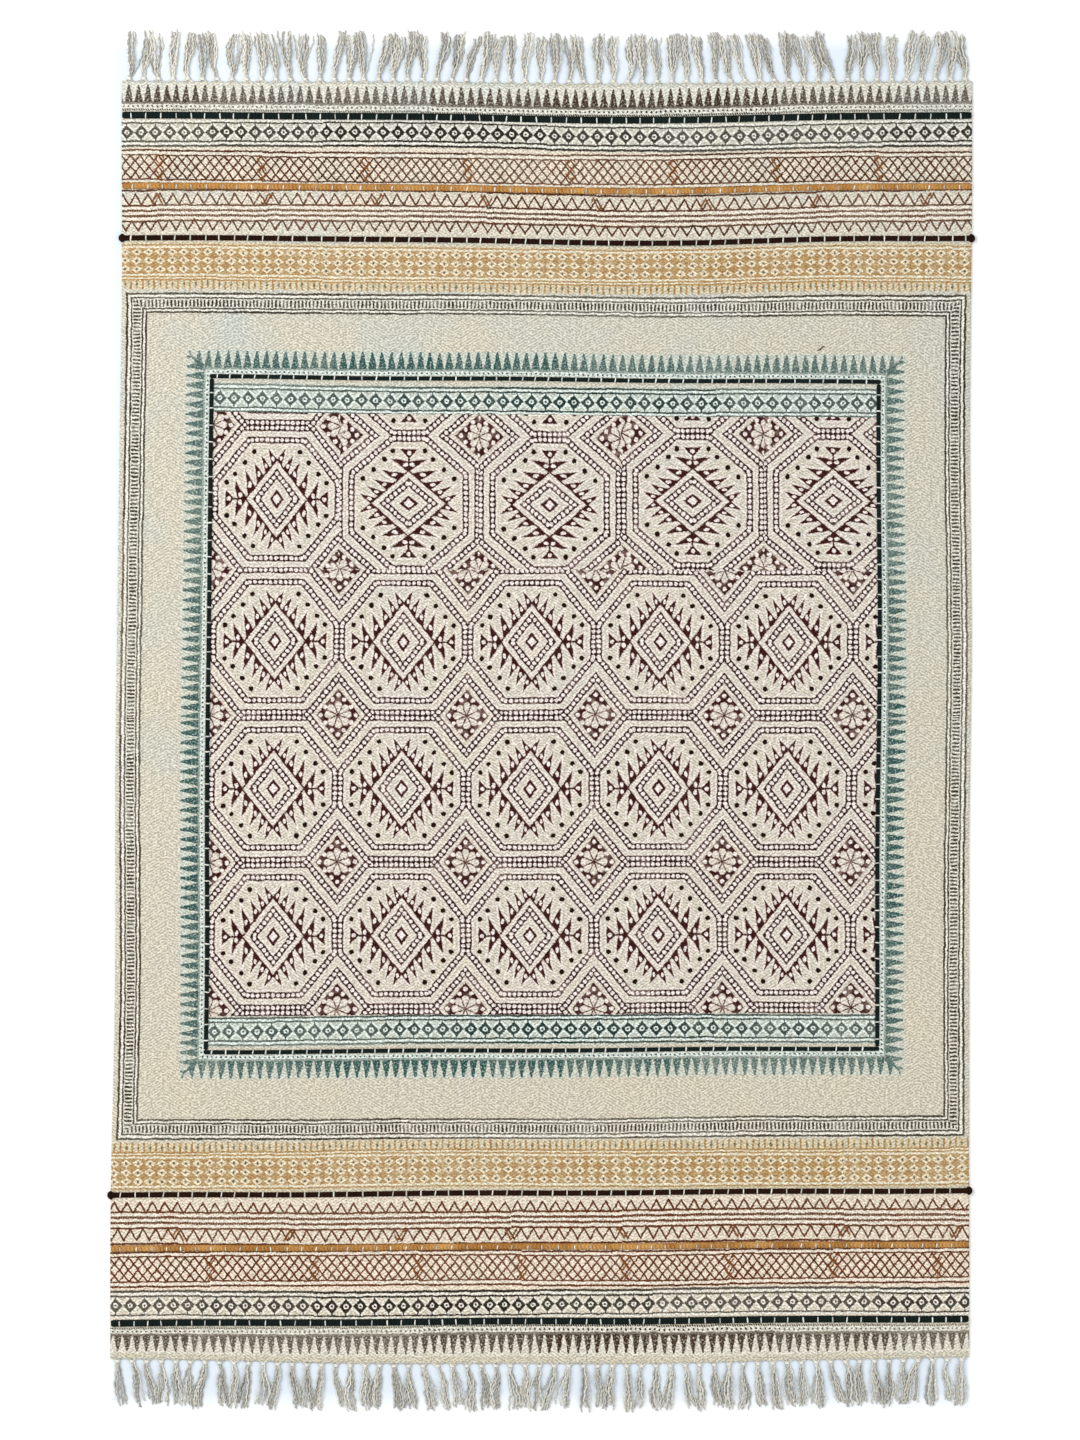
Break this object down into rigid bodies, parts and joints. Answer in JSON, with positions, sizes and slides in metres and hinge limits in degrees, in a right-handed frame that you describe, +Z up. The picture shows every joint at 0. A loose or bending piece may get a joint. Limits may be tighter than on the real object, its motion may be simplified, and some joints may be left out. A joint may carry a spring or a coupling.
{
  "type": "dhurrie rug",
  "caption": "Flat-woven cotton dhurrie rug with block-printed borders and lattice field, couched coloured cords and knotted tassel fringes at both ends.",
  "frame": {"origin": "on the floor under the middle of the rug", "axes": "+X across the rug, +Y along it towards its far end, +Z up out of the printed face"},
  "size_m": [1.2241, 1.9474, 0.008],
  "materials": {
    "printed_cotton": "coarse matt twill flat weave with block print",
    "fringe_yarn": "matt plied cotton yarn",
    "green_cord": "matt braided cotton",
    "mustard_cord": "matt braided cotton",
    "brown_cord": "matt braided cotton",
    "stitch_thread": "matt cotton thread"
  },
  "bodies": {
    "root": {"rug_cloth": "printed_cotton", "fringe_far": "fringe_yarn", "fringe_near": "fringe_yarn", "cord_green_far": "green_cord", "cord_mustard_far": "mustard_cord", "cord_brown_far": "brown_cord", "cord_green_near": "green_cord", "cord_mustard_near": "mustard_cord", "cord_brown_near": "brown_cord", "cord_field_far": "green_cord", "cord_field_near": "green_cord", "cord_field_left": "green_cord", "cord_field_right": "green_cord"}
  },
  "joints": []
}
